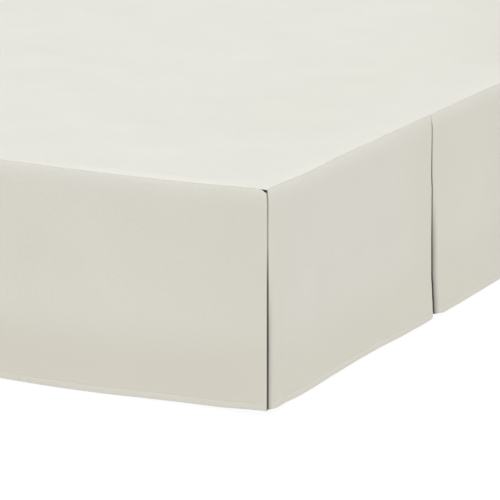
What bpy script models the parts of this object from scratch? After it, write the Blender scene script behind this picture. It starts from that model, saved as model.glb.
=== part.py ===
"""A tailored bed skirt on the box spring that carries it, standing on a plain frame.

The skirt is four pieces of cloth: a deck that lies on the box spring, and three straight
drops that hang from its edges at the foot and the two long sides. Each drop is one strip,
pressed into inverted pleats at the foot corners and between its panels. The head end is
open. The part stands on z = 0, with its origin midway along and across it. +Y runs from
the foot to the head, and +X to the right as seen from the foot. Units are metres.
"""

import math
from collections import namedtuple

import bmesh
import bpy
from mathutils import Vector

# Driving dimensions of the skirt
BED_WIDTH = 1.372
BED_LENGTH = 1.905
DROP_HEIGHT = 0.356
HEM_CLEARANCE = 0.006
CLOTH_THICKNESS = 0.0012
EDGE_ROUND = 0.014
SEAM_ANGLE = math.radians(58)
PLEAT_DEPTH = 0.075
UNDERLAY_DEPTH_TOP = 0.0058
UNDERLAY_DEPTH_HEM = 0.0120
HEAD_INSET = 0.004
PIECE_GAP = 0.0003
SIDE_PANELS = 3
FOOT_PANELS = 2

# Driving dimensions of the box spring and its frame
BASE_INSET = 0.016
BASE_HEIGHT = 0.229
BASE_CORNER = 0.030
BASE_CORNER_SEGMENTS = 4
BASE_EDGE = 0.006
BASE_EDGE_SEGMENTS = 2
RAIL_WIDTH = 0.035
RAIL_HEIGHT = 0.038
RAIL_BEVEL = 0.003
RAIL_SPREAD = 1.200
LEG_RADIUS = 0.020
LEG_FOOT_ROUND = 0.003
LEG_SIDES = 16
END_RAIL_INSET = 0.130

# Heights that follow from them
DECK_TOP = HEM_CLEARANCE + DROP_HEIGHT
DECK_MIDDLE = DECK_TOP - CLOTH_THICKNESS / 2
ROUND_CENTRE = DECK_MIDDLE - EDGE_ROUND
BASE_TOP = DECK_TOP - CLOTH_THICKNESS - PIECE_GAP
BASE_BOTTOM = BASE_TOP - BASE_HEIGHT
RAIL_TOP = BASE_BOTTOM - PIECE_GAP
RAIL_BOTTOM = RAIL_TOP - RAIL_HEIGHT
LEG_HEIGHT = RAIL_BOTTOM - PIECE_GAP
FACE_LENGTH = EDGE_ROUND * SEAM_ANGLE + ROUND_CENTRE - HEM_CLEARANCE
EDGE_SHARE = EDGE_ROUND * SEAM_ANGLE / FACE_LENGTH

# How finely the cloth is divided
FRONT_STEPS = 8
ROLL_STEPS = 2
BEND_STEPS = 3
INNER_FOLD_STEPS = 3
DECK_STEPS_ACROSS = 9
DECK_STEPS_ALONG = 13
EDGE_STEPS = 3
ROW_SHARES = [EDGE_SHARE * i / EDGE_STEPS for i in range(EDGE_STEPS + 1)]
ROW_SHARES += [0.11, 0.2, 0.42, 0.7, 1]

# The seam holds the folds shut, and they settle into their hanging shape below it
SETTLING_SHARE = 0.07
TUCKED_ANGLE = math.radians(50)
TUCKED_LIFT = 0.006
MITRE_CLEARANCE = 0.00115

# A panel's folded end, at the seam and at the hem. tip is how far it stands from the
# middle of the pleat, or from the next side's face at a corner. The front curves in over
# roll before the tip, to lie tuck back, and turns round a radius of bend. The hem lifts
# by rise at the tip, from run away.
PanelEnd = namedtuple(
    "PanelEnd", "tip_top tip_hem roll_top roll_hem tuck_top tuck_hem bend_top bend_hem rise run"
)
CRISP_BEFORE = PanelEnd(
    0.0003, 0.0018, 0.003, 0.006, 0.0003, 0.0006, 0.0009, 0.0010, 0.0025, 0.012
)
SOFT_AFTER = PanelEnd(
    0.0003, 0.0110, 0.004, 0.018, 0.0003, 0.0020, 0.0009, 0.0026, 0.0045, 0.040
)
FOOT_CORNER = PanelEnd(
    0.0018, 0.0018, 0.011, 0.011, 0.0003, 0.0005, 0.0011, 0.0011, 0.0060, 0.095
)
SIDE_CORNER = PanelEnd(
    0.0018, 0.0056, 0.011, 0.014, 0.0002, 0.0020, 0.0009, 0.0012, 0.0040, 0.030
)

# A soft bow of a drop: its middle along the side from the foot or left corner, how far it
# reaches each way, and how far in the hem moves there.
Bow = namedtuple("Bow", "middle reach inward")
RIGHT_BOWS = (
    Bow(0.36, 0.24, 0.0050),
    Bow(0.97, 0.26, 0.0030),
    Bow(1.58, 0.25, 0.0042),
)
LEFT_BOWS = (
    Bow(0.29, 0.22, 0.0036),
    Bow(0.93, 0.24, 0.0046),
    Bow(1.62, 0.24, 0.0030),
)
FOOT_BOWS = (
    Bow(0.24, 0.17, 0.0032),
    Bow(1.02, 0.20, -0.0030),
)

# A soft swell of the deck, from one point of the bed's plan to another.
Swell = namedtuple("Swell", "start_x start_y end_x end_y reach height")
DECK_SWELLS = (
    Swell(-0.62, 0.06, -0.20, 0.24, 0.13, 0.0018),
    Swell(-0.60, -0.34, -0.16, -0.20, 0.12, 0.0014),
    Swell(0.30, 0.66, 0.58, 0.44, 0.14, 0.0016),
)
LEVEL_HALF_WIDTH = 0.10

Finish = namedtuple("Finish", "name colour roughness metallic")
SKIRT_CLOTH = Finish("skirt_cloth", (0.79, 0.77, 0.69, 1), 0.9, 0.0)
TICKING = Finish("ticking", (0.62, 0.60, 0.56, 1), 0.85, 0.0)
PAINTED_STEEL = Finish("painted_steel", (0.045, 0.045, 0.048, 1), 0.45, 0.6)

Column = namedtuple("Column", "along depth top_angle lift")
Side = namedtuple("Side", "origin along inward length start pleats finish bows")


def clear_scene():
    for scene_object in list(bpy.data.objects):
        bpy.data.objects.remove(scene_object)


def make_material(finish):
    material = bpy.data.materials.new(finish.name)
    material.use_nodes = True
    shader = material.node_tree.nodes["Principled BSDF"]
    shader.inputs["Base Color"].default_value = finish.colour
    shader.inputs["Roughness"].default_value = finish.roughness
    shader.inputs["Metallic"].default_value = finish.metallic
    return material


def add_object(name, mesh_data, material, smooth_degrees=40):
    """Links a bmesh to the scene as a named object, round faces shaded smooth."""
    bmesh.ops.recalc_face_normals(mesh_data, faces=mesh_data.faces)
    mesh = bpy.data.meshes.new(name)
    mesh_data.to_mesh(mesh)
    mesh_data.free()
    mesh.materials.append(material)
    mesh.shade_smooth()
    mesh.set_sharp_from_angle(angle=math.radians(smooth_degrees))
    made = bpy.data.objects.new(name, mesh)
    bpy.context.collection.objects.link(made)
    return made


def bump(distance, reach):
    """1 at no distance, falling smoothly to 0 at reach."""
    if abs(distance) >= reach:
        return 0.0
    return 0.5 * (1 + math.cos(math.pi * distance / reach))


def settled(top, hem, share):
    """A size this share of the way down, which changes most just below the seam."""
    done = (1 - math.exp(-share / SETTLING_SHARE)) / (1 - math.exp(-1 / SETTLING_SHARE))
    return top + (hem - top) * done


def underlay_depth(share):
    return settled(UNDERLAY_DEPTH_TOP, UNDERLAY_DEPTH_HEM, share)


def level_share(share, top_angle):
    """The share down the front that is level with this one on a layer that starts lower."""
    return share + (1 - share) * EDGE_ROUND * (SEAM_ANGLE - top_angle) / FACE_LENGTH


def fold_at(middle, towards, end, share):
    """Where a fold's tip stands along the side, how far back it lies, and its radius."""
    tip = middle - towards * (settled(end.tip_top, end.tip_hem, share) + CLOTH_THICKNESS / 2)
    tuck = settled(end.tuck_top, end.tuck_hem, share)
    return tip, tuck, settled(end.bend_top, end.bend_hem, share)


def mitre(column, corner):
    """The column with its top held outside the line that halves the corner."""
    away = abs(column.along - corner) - MITRE_CLEARANCE
    reach = (EDGE_ROUND - away) / (EDGE_ROUND - column.depth)
    return column._replace(top_angle=min(column.top_angle, math.acos(min(max(reach, 0), 1))))


def folded_end(middle, towards, end, share, is_corner=False):
    """A panel's end at one height: its roll, bend, return and inner fold, front first."""
    tip, tuck, bend = fold_at(middle, towards, end, share)
    roll = settled(end.roll_top, end.roll_hem, share)
    columns = []
    for step in range(ROLL_STEPS):
        done = step / ROLL_STEPS
        along = tip - towards * (roll + (bend - roll) * done)
        depth = tuck * (1 - math.cos(math.pi / 2 * done))
        columns.append(Column(along, depth, SEAM_ANGLE, end.rise))
    for step in range(BEND_STEPS + 1):
        turn = math.pi * step / BEND_STEPS
        behind = max(2 * step / BEND_STEPS - 1, 0)
        angle = SEAM_ANGLE + (TUCKED_ANGLE - SEAM_ANGLE) * behind
        lift = end.rise + (TUCKED_LIFT - end.rise) * behind
        tip, tuck, bend = fold_at(middle, towards, end, level_share(share, angle))
        along = tip - towards * bend * (1 - math.sin(turn))
        columns.append(Column(along, tuck + bend * (1 - math.cos(turn)), angle, lift))
    back = tuck + 2 * bend
    under = underlay_depth(level_share(share, TUCKED_ANGLE))
    for step in range(INNER_FOLD_STEPS + 1):
        turn = math.pi * step / INNER_FOLD_STEPS
        along = tip - towards * (PLEAT_DEPTH + (under - back) / 2 * math.sin(turn))
        depth = (under + back) / 2 - (under - back) / 2 * math.cos(turn)
        columns.append(Column(along, depth, TUCKED_ANGLE, TUCKED_LIFT))
    if is_corner:
        return [mitre(column, middle) for column in columns]
    return columns


def corner_underlay(corner, towards, runs_through, share):
    """The underlay's end at a corner. One strip runs through it and the other meets it."""
    depth = underlay_depth(level_share(share, 0.0))
    reach = depth - CLOTH_THICKNESS / 2
    if not runs_through:
        reach = depth + CLOTH_THICKNESS / 2 + PIECE_GAP
    return Column(corner - towards * reach, depth, 0.0, TUCKED_LIFT)


def front_columns(first, last):
    """The columns of a panel's face between its two ends."""
    columns = []
    for step in range(1, FRONT_STEPS):
        along = first + (last - first) * step / FRONT_STEPS
        columns.append(Column(along, 0.0, SEAM_ANGLE, 0.0))
    return columns


def strip_columns(side, share):
    """The whole strip in plan at one height, from its first end to its last."""
    runs_through = side.start is not None and side.finish is not None
    columns = [corner_underlay(0.0, -1, runs_through, share)]
    columns += reversed(folded_end(0.0, -1, side.start, share, True))
    for middle, before, after in side.pleats:
        panel_end = folded_end(middle, 1, before, share)
        columns += front_columns(columns[-1].along, panel_end[0].along)
        columns += panel_end
        columns += reversed(folded_end(middle, -1, after, share))
    if side.finish is None:
        last = side.length - HEAD_INSET
        columns += front_columns(columns[-1].along, last)
        columns.append(Column(last, 0.0, SEAM_ANGLE, 0.0))
        return columns
    panel_end = folded_end(side.length, 1, side.finish, share, True)
    columns += front_columns(columns[-1].along, panel_end[0].along)
    columns += panel_end
    columns.append(corner_underlay(side.length, 1, runs_through, share))
    return columns


def hem_lift(side, column):
    """How far the hem is lifted here: most at the folded tips, none along a panel."""
    if column.depth > 0:
        return column.lift
    tips = [(0.0, side.start), (side.length, side.finish)]
    for middle, before, after in side.pleats:
        tips += [(middle, before if column.along < middle else after)]
    lifts = [
        end.rise * bump(column.along - middle, end.run)
        for middle, end in tips
        if end is not None
    ]
    return max(lifts)


def bow_at(side, along, height):
    """How far the drop stands in at this place, more towards its hem."""
    fallen = max(ROUND_CENTRE - height, 0) / (ROUND_CENTRE - HEM_CLEARANCE)
    return fallen * sum(b.inward * bump(along - b.middle, b.reach) for b in side.bows)


def place(side, along, depth, column, share):
    """The point this share of the way down a column, over the round edge and down."""
    radius = EDGE_ROUND - depth
    over_edge = radius * column.top_angle
    hem = HEM_CLEARANCE + hem_lift(side, column)
    down = share * (over_edge + ROUND_CENTRE - hem)
    if down < over_edge:
        angle = column.top_angle - down / radius
        inward = EDGE_ROUND - radius * math.cos(angle)
        height = ROUND_CENTRE + radius * math.sin(angle)
    else:
        inward = depth
        height = ROUND_CENTRE - (down - over_edge)
    inward += bow_at(side, along, height)
    point = side.origin + side.along * along + side.inward * inward
    return point + Vector((0, 0, height))


def plan_normals(columns):
    """The outward direction in plan at each column, as (along, depth)."""
    normals = []
    for index in range(len(columns)):
        before = columns[max(index - 1, 0)]
        after = columns[min(index + 1, len(columns) - 1)]
        step = Vector((after.along - before.along, after.depth - before.depth))
        step.normalize()
        normals.append((step.y, -step.x))
    return normals


def closed_sheet(outer, inner):
    """A closed sheet of cloth between two grids of points, row by row."""
    mesh_data = bmesh.new()
    rows, columns = len(outer), len(outer[0])
    layers = [[[mesh_data.verts.new(p) for p in row] for row in grid] for grid in (outer, inner)]
    for grid, order in zip(layers, (1, -1)):
        for i in range(rows - 1):
            for j in range(columns - 1):
                corners = [grid[i][j], grid[i][j + 1], grid[i + 1][j + 1], grid[i + 1][j]]
                mesh_data.faces.new(corners[::order])
    rim = [(0, j) for j in range(columns)]
    rim += [(i, columns - 1) for i in range(1, rows)]
    rim += [(rows - 1, j) for j in range(columns - 2, -1, -1)]
    rim += [(i, 0) for i in range(rows - 2, 0, -1)]
    for (i, j), (k, m) in zip(rim, rim[1:] + rim[:1]):
        rim_face = [layers[0][k][m], layers[0][i][j], layers[1][i][j], layers[1][k][m]]
        mesh_data.faces.new(rim_face)
    return mesh_data


def make_drop(name, side, material):
    """One strip of the drop, pleated and hung from the deck's edge."""
    outer, inner = [], []
    half = CLOTH_THICKNESS / 2
    for share in ROW_SHARES:
        columns = strip_columns(side, share)
        normals = plan_normals(columns)
        for grid, offset in ((outer, half), (inner, -half)):
            grid.append([
                place(side, c.along + offset * n[0], c.depth + offset * n[1], c, share)
                for c, n in zip(columns, normals)
            ])
    return add_object(name, closed_sheet(outer, inner), material)


def edge_fall(distance_in):
    """How far the deck has dropped this far in from a drop's face."""
    past = max(EDGE_ROUND - distance_in, 0)
    return EDGE_ROUND - math.sqrt(EDGE_ROUND**2 - past**2)


def swell_at(x, y):
    """The height of the deck's soft swells, none in the level middle."""
    total = 0.0
    for swell in DECK_SWELLS:
        start = Vector((swell.start_x, swell.start_y))
        run = Vector((swell.end_x, swell.end_y)) - start
        away = Vector((x, y)) - start
        share = min(max(away.dot(run) / run.length_squared, 0), 1)
        total += swell.height * bump((away - run * share).length, swell.reach)
    level = bump(max(math.hypot(x, y) - LEVEL_HALF_WIDTH, 0), LEVEL_HALF_WIDTH)
    return total * (1 - level)


def deck_lines(low, high, low_round, high_round, steps):
    """Grid places across the deck, with an extra one where each rounded edge begins."""
    inner_low = low + low_round
    inner_high = high - high_round
    lines = [inner_low + (inner_high - inner_low) * i / steps for i in range(steps + 1)]
    if low_round:
        lines = [low] + lines
    if high_round:
        lines = lines + [high]
    return lines


def make_deck(material):
    """The cloth that lies on the box spring, its three sewn edges turned down a little."""
    seam_in = EDGE_ROUND - (EDGE_ROUND - CLOTH_THICKNESS) * math.cos(SEAM_ANGLE) + PIECE_GAP
    turned = EDGE_ROUND - seam_in
    half_width = BED_WIDTH / 2 - seam_in
    foot = -BED_LENGTH / 2 + seam_in
    head = BED_LENGTH / 2 - HEAD_INSET
    outer, inner = [], []
    for y in deck_lines(foot, head, turned, 0, DECK_STEPS_ALONG):
        top_row, under_row = [], []
        for x in deck_lines(-half_width, half_width, turned, turned, DECK_STEPS_ACROSS):
            fall = edge_fall(BED_WIDTH / 2 - abs(x)) + edge_fall(BED_LENGTH / 2 + y)
            height = DECK_TOP - fall + swell_at(x, y)
            top_row.append(Vector((x, y, height)))
            under_row.append(Vector((x, y, height - CLOTH_THICKNESS)))
        outer.append(top_row)
        inner.append(under_row)
    return add_object("deck", closed_sheet(outer, inner), material)


def block_mesh(low, high):
    """A plain block between two opposite corners."""
    mesh_data = bmesh.new()
    bmesh.ops.create_cube(mesh_data, size=1)
    size = Vector(high) - Vector(low)
    middle = (Vector(high) + Vector(low)) / 2
    for vertex in mesh_data.verts:
        vertex.co = middle + Vector(a * b for a, b in zip(vertex.co, size))
    return mesh_data


def round_edges(mesh_data, edges, radius, segments=1):
    bmesh.ops.bevel(
        mesh_data, geom=edges, offset=radius, segments=segments, affect="EDGES", profile=0.5
    )


def make_box_spring(material):
    """The box spring, its upright corners rounded and then all its edges softened."""
    half_width = BED_WIDTH / 2 - BASE_INSET
    low = (-half_width, -BED_LENGTH / 2 + BASE_INSET, BASE_BOTTOM)
    high = (half_width, BED_LENGTH / 2 - BASE_INSET, BASE_TOP)
    mesh_data = block_mesh(low, high)

    def is_upright(edge):
        return abs((edge.verts[0].co - edge.verts[1].co).z) > BASE_HEIGHT / 2

    upright = [edge for edge in mesh_data.edges if is_upright(edge)]
    round_edges(mesh_data, upright, BASE_CORNER, BASE_CORNER_SEGMENTS)
    level = [edge for edge in mesh_data.edges if not is_upright(edge)]
    round_edges(mesh_data, level, BASE_EDGE, BASE_EDGE_SEGMENTS)
    return add_object("box_spring", mesh_data, material)


def make_rail(name, low, high, material):
    mesh_data = block_mesh(low, high)
    round_edges(mesh_data, mesh_data.edges[:], RAIL_BEVEL)
    return add_object(name, mesh_data, material)


def make_frame(material):
    """Two side rails, three cross rails let in between them, and a leg under each joint."""
    half_rail = RAIL_WIDTH / 2
    rail_centre = RAIL_SPREAD / 2
    end = BED_LENGTH / 2 - END_RAIL_INSET
    for name, x in (("left", -rail_centre), ("right", rail_centre)):
        low = (x - half_rail, -end - half_rail, RAIL_BOTTOM)
        high = (x + half_rail, end + half_rail, RAIL_TOP)
        make_rail(f"side_rail_{name}", low, high, material)
    inside = rail_centre - half_rail - PIECE_GAP
    stations = (("foot", -end), ("middle", 0.0), ("head", end))
    for name, y in stations:
        low = (-inside, y - half_rail, RAIL_BOTTOM)
        high = (inside, y + half_rail, RAIL_TOP)
        make_rail(f"cross_rail_{name}", low, high, material)
        for side_name, x in (("left", -rail_centre), ("right", rail_centre)):
            make_leg(f"leg_{name}_{side_name}", x, y, material)


def make_leg(name, x, y, material):
    """A round leg with a small rounded foot, standing on the floor."""
    mesh_data = bmesh.new()
    bmesh.ops.create_cone(
        mesh_data,
        cap_ends=True,
        segments=LEG_SIDES,
        radius1=LEG_RADIUS,
        radius2=LEG_RADIUS,
        depth=LEG_HEIGHT,
    )
    for vertex in mesh_data.verts:
        vertex.co += Vector((x, y, LEG_HEIGHT / 2))
    foot_edges = [e for e in mesh_data.edges if max(v.co.z for v in e.verts) < LEG_HEIGHT / 2]
    round_edges(mesh_data, foot_edges, LEG_FOOT_ROUND)
    return add_object(name, mesh_data, material)


def skirt_sides():
    """The three sides that carry a drop, each from its corner with the foot or the left."""
    half_width, half_length = BED_WIDTH / 2, BED_LENGTH / 2
    panel = BED_LENGTH / SIDE_PANELS
    pleats = [(panel * i, CRISP_BEFORE, SOFT_AFTER) for i in range(1, SIDE_PANELS)]
    foot_panel = BED_WIDTH / FOOT_PANELS
    foot_pleats = [(foot_panel * i, CRISP_BEFORE, SOFT_AFTER) for i in range(1, FOOT_PANELS)]
    up, left, right = Vector((0, 1, 0)), Vector((-1, 0, 0)), Vector((1, 0, 0))
    right_corner = Vector((half_width, -half_length, 0))
    left_corner = Vector((-half_width, -half_length, 0))
    return {
        "drop_right": Side(
            right_corner, up, left, BED_LENGTH, SIDE_CORNER, pleats, None, RIGHT_BOWS
        ),
        "drop_left": Side(
            left_corner, up, right, BED_LENGTH, SIDE_CORNER, pleats, None, LEFT_BOWS
        ),
        "drop_foot": Side(
            left_corner, right, up, BED_WIDTH, FOOT_CORNER, foot_pleats, FOOT_CORNER, FOOT_BOWS
        ),
    }


def main():
    clear_scene()
    skirt_cloth = make_material(SKIRT_CLOTH)
    make_deck(skirt_cloth)
    for name, side in skirt_sides().items():
        make_drop(name, side, skirt_cloth)
    make_box_spring(make_material(TICKING))
    make_frame(make_material(PAINTED_STEEL))


main()
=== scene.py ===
"""Looks of a tailored bed skirt, the box spring under it and its plain steel frame.

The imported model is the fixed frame. The deck and the three drops are remade as thin
cloth on the folds of their solids, the box spring gets its cover and piping, and the
steel frame keeps its shape and gets a powder-coat finish. Units are metres, with +Z up
and +Y from the foot of the bed to its head.
"""

import logging
import math
from dataclasses import dataclass, field
from enum import Enum
from typing import Callable, NamedTuple, Optional, Sequence

import bmesh
import bpy
from mathutils import Matrix, Vector, noise

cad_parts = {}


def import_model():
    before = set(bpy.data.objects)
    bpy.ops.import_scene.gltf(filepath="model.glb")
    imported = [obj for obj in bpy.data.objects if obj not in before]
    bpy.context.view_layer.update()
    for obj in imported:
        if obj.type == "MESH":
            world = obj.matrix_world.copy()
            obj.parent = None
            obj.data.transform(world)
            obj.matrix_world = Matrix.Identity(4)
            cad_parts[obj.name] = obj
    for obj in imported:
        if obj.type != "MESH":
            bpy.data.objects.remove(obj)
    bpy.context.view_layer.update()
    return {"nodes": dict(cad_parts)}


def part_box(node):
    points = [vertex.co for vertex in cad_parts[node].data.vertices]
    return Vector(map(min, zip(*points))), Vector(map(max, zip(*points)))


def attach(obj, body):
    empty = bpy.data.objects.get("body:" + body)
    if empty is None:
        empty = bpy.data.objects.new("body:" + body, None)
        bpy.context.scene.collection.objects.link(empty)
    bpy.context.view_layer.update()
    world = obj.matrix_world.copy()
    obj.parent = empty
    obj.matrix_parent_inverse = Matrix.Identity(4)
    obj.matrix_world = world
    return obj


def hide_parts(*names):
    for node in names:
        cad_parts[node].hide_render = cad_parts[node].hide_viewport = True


LOG = logging.getLogger("bed_skirt")
ROOT = "root"
PLACE_ATTRIBUTE = "cut_place"
# Attributes for painted shade: dark inside the folds, and darker and warmer low on the drops and in
# patches.
SHADE_ATTRIBUTE = "fold_shade"
WARM_SHADE_ATTRIBUTE = "painted_warm_shade"

Colour = tuple[float, float, float]
Point = tuple[float, float, float]


# Measures and small sums


def bump(distance: float, reach: float) -> float:
    """Return 1 at no distance, falling smoothly to 0 at reach."""
    if abs(distance) >= reach:
        return 0.0
    return 0.5 * (1 + math.cos(math.pi * distance / reach))


def eased(value: float, low: float, high: float) -> float:
    """Return 0 up to low and 1 from high on, with a smooth change between them."""
    share = min(max((value - low) / (high - low), 0.0), 1.0)
    return share * share * (3 - 2 * share)


class Crease(NamedTuple):
    """A soft ridge or trough of cloth along a line, in the cloth's own two directions."""

    start_u: float
    start_v: float
    end_u: float
    end_v: float
    reach: float
    rise: float

    def height_at(self, u: float, v: float) -> float:
        """Return how far the crease lifts the cloth at a place.

        Args:
            u: Place along the cloth's first direction.
            v: Place along its second direction.

        Returns:
            The rise, which is negative in a trough.
        """
        run_u, run_v = self.end_u - self.start_u, self.end_v - self.start_v
        away_u, away_v = u - self.start_u, v - self.start_v
        share = (away_u * run_u + away_v * run_v) / (run_u**2 + run_v**2)
        share = min(max(share, 0.0), 1.0)
        distance = math.hypot(away_u - run_u * share, away_v - run_v * share)
        return self.rise * bump(distance, self.reach)


class Wave(NamedTuple):
    """A soft change along a side: a panel that bows in, or an edge that sags or dips."""

    middle: float
    reach: float
    size: float

    def at(self, along: float) -> float:
        """Return its size at a place along the side."""
        return self.size * bump(along - self.middle, self.reach)


class Lean(NamedTuple):
    """How far along the side a pleat stands from its own place at one height."""

    height: float
    shift: float


class Sway(NamedTuple):
    """A pleat's soft sway along the side as it falls, given from its hem up."""

    middle: float
    reach: float
    leans: tuple[Lean, ...]

    def shift_at(self, along: float, height: float) -> float:
        """Return how far the cloth stands along the side from its own place.

        Args:
            along: Its own place along the side.
            height: Its height.

        Returns:
            The shift, which fades with the distance from the pleat.
        """
        near = bump(along - self.middle, self.reach)
        below = self.leans[0]
        for above in self.leans[1:]:
            if height < above.height:
                share = eased(height, below.height, above.height)
                return near * (below.shift + (above.shift - below.shift) * share)
            below = above
        return near * below.shift


class PanelEnd(NamedTuple):
    """A panel's folded end, at the seam and at the hem.

    tip is how far it stands from the middle of the pleat, or from the next side's face at
    a corner. The front curves in over roll before the tip, to lie tuck back, and turns
    round a radius of bend. The hem lifts by rise at the tip, from run away. The sewn top
    falls away from the deck by an angle of notch at the tip. late is the share of the
    tip's own drift that comes only further down. shaded is how dark the roll's last
    stretch is low down, where it turns away from the light.
    """

    tip_top: float
    tip_hem: float
    roll_top: float
    roll_hem: float
    tuck_top: float
    tuck_hem: float
    bend_top: float
    bend_hem: float
    rise: float
    run: float
    notch: float = 0.0
    late: float = 0.0
    shaded: float = 0.0


class Pleat(NamedTuple):
    """An inverted pleat: its middle along the side, and the panel ends that meet there."""

    middle: float
    before: PanelEnd
    after: PanelEnd


class Column(NamedTuple):
    """One upright line of a drop: its place in plan and how its top and hem behave.

    The last field is the painted shade of a fold's inside: 0 on the flat front, and 1 where the cloth
    lies inside the pleat.
    """

    along: float
    depth: float
    top_angle: float
    lift: float
    is_front: bool
    fold_shading: float = 1.0


class Row(NamedTuple):
    """One level line of a drop.

    share is how far down the front it lies. rolled is the angle of the sewn edge's curl
    above it, sunk how far the edge then runs in. swell moves the face out, and inner and
    outer are the thickness to each side of the middle of the cloth.
    """

    share: float
    rolled: float = 0.0
    sunk: float = 0.0
    swell: float = 0.0
    outer: float = 1.0
    inner: float = 1.0


class HemTurn(NamedTuple):
    """One level line of the double hem, measured up in hem heights."""

    above: float
    swell: float
    inner: float


@dataclass(frozen=True)
class SkirtCut:
    """The sizes that the skirt is cut and hung to."""

    width: float = 1.372
    length: float = 1.905
    drop_height: float = 0.356
    hem_clearance: float = 0.006
    solid_cloth: float = 0.0012
    cloth: float = 0.0009
    edge_round: float = 0.100
    seam_angle: float = math.radians(16)
    deck_round: float = 0.014
    deck_fall: float = 0.0007
    pleat_depth: float = 0.075
    under_top: float = 0.0058
    under_hem: float = 0.0120
    head_inset: float = 0.004
    piece_gap: float = 0.0003
    settling_share: float = 0.07
    tucked_angle: float = math.radians(14)
    tucked_lift: float = 0.006
    seam_curl: float = 0.0005
    seam_gap: float = 0.0022
    seam_turn: float = math.radians(124)
    seam_size: float = 0.18
    seam_run: float = 0.0008
    seam_steps: tuple[float, ...] = (1.0, 0.75, 0.5, 0.25)
    seam_allowance: float = 0.010
    hem_height: float = 0.0115

    @property
    def deck_top(self) -> float:
        """Return the height of the deck's upper face."""
        return self.hem_clearance + self.drop_height

    @property
    def round_centre(self) -> float:
        """Return the height of the centre that a drop's lean below its seam turns about."""
        seam = self.deck_top - self.solid_cloth / 2 - self.deck_fall
        return seam - self.edge_round * math.sin(self.seam_angle)

    @property
    def seam_in(self) -> float:
        """Return how far in from a drop's face its seam lies."""
        return self.edge_round * (1 - math.cos(self.seam_angle))

    @property
    def deck_slope(self) -> float:
        """Return the angle at which the deck falls to its seam."""
        return math.atan(2 * self.deck_fall / (self.deck_round - self.seam_in))

    @property
    def curl_angle(self) -> float:
        """Return the angle of a drop's lean that its sewn edge's curl takes up."""
        return self.seam_size * self.seam_gap / self.edge_round

    @property
    def front_angle(self) -> float:
        """Return the angle of lean at which a drop's face begins."""
        return self.seam_angle - self.curl_angle

    @property
    def face_length(self) -> float:
        """Return the length of a drop's face from its seam to its hem."""
        straight = self.round_centre - self.hem_clearance
        return self.edge_round * self.front_angle + straight

    def settled(self, top: float, hem: float, share: float) -> float:
        """Return a size this share of the way down, changing most just below the seam."""
        whole = 1 - math.exp(-1 / self.settling_share)
        return top + (hem - top) * (1 - math.exp(-share / self.settling_share)) / whole

    def level_share(self, share: float, top_angle: float) -> float:
        """Return the share down the front that is level with this one on an inner layer.

        Args:
            share: How far down the inner layer the place is.
            top_angle: The angle of lean at which that layer starts.

        Returns:
            The share of the front's own length.
        """
        lower = self.edge_round * (self.front_angle - top_angle)
        return share + (1 - share) * lower / self.face_length

    def seam_turns(self) -> list[tuple[float, float]]:
        """Return the turns of a sewn edge's curl, outermost first, with how far it runs in."""
        turns = [(self.seam_turn * step, 0.0) for step in self.seam_steps]
        return [(self.seam_turn, self.seam_run)] + turns

    def curled(
        self, normal: Vector, onward: Vector, turn: tuple[float, float], offset: float
    ) -> Vector:
        """Return how far a sewn edge's curl moves a point.

        Args:
            normal: The direction out of the cloth where the curl starts.
            onward: The direction along the cloth to its edge.
            turn: The angle of the curl, and how far the edge then runs in.
            offset: The point's distance outward from the middle of the cloth.

        Returns:
            The move, on over the seam and then in.
        """
        radius = self.seam_curl + offset
        sine, cosine = math.sin(turn[0]), math.cos(turn[0])
        move = onward * (radius * sine + turn[1] * cosine)
        move -= normal * (radius * (1 - cosine) + turn[1] * sine)
        return move * self.seam_size


CRISP_BEFORE = PanelEnd(
    tip_top=0.0003, tip_hem=0.0018, roll_top=0.003, roll_hem=0.006, tuck_top=0.0003,
    tuck_hem=0.0006, bend_top=0.0009, bend_hem=0.0010, rise=0.0025, run=0.012,
)
SOFT_AFTER = PanelEnd(
    tip_top=0.0003, tip_hem=0.0088, roll_top=0.004, roll_hem=0.018, tuck_top=0.0003,
    tuck_hem=0.0022, bend_top=0.0009, bend_hem=0.0022, rise=0.0045, run=0.040, late=0.65,
    shaded=0.5,
)
FOOT_CORNER = PanelEnd(
    tip_top=0.0018, tip_hem=0.0018, roll_top=0.011, roll_hem=0.011, tuck_top=0.0003,
    tuck_hem=0.0005, bend_top=0.0011, bend_hem=0.0011, rise=0.0038, run=0.095,
    notch=math.radians(2.6),
)
SIDE_CORNER = PanelEnd(
    tip_top=0.0018, tip_hem=0.0056, roll_top=0.011, roll_hem=0.014, tuck_top=0.0002,
    tuck_hem=0.0020, bend_top=0.0009, bend_hem=0.0012, rise=0.0040, run=0.030, late=0.5,
    shaded=0.35,
)
HEM_TURNS = (
    HemTurn(above=2.20, swell=0.0, inner=1.0), HemTurn(above=1.50, swell=0.0, inner=1.0),
    HemTurn(above=1.22, swell=0.0, inner=1.0), HemTurn(above=1.10, swell=0.00005, inner=1.0),
    HemTurn(above=1.06, swell=0.00005, inner=2.6), HemTurn(above=1.0, swell=-0.00025, inner=2.6),
    HemTurn(above=0.93, swell=0.0, inner=2.6), HemTurn(above=0.78, swell=0.00022, inner=2.6),
    HemTurn(above=0.50, swell=0.0003, inner=2.6), HemTurn(above=0.22, swell=0.0002, inner=2.6),
    HemTurn(above=0.06, swell=0.0, inner=2.3),
)


# Finishes


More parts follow.
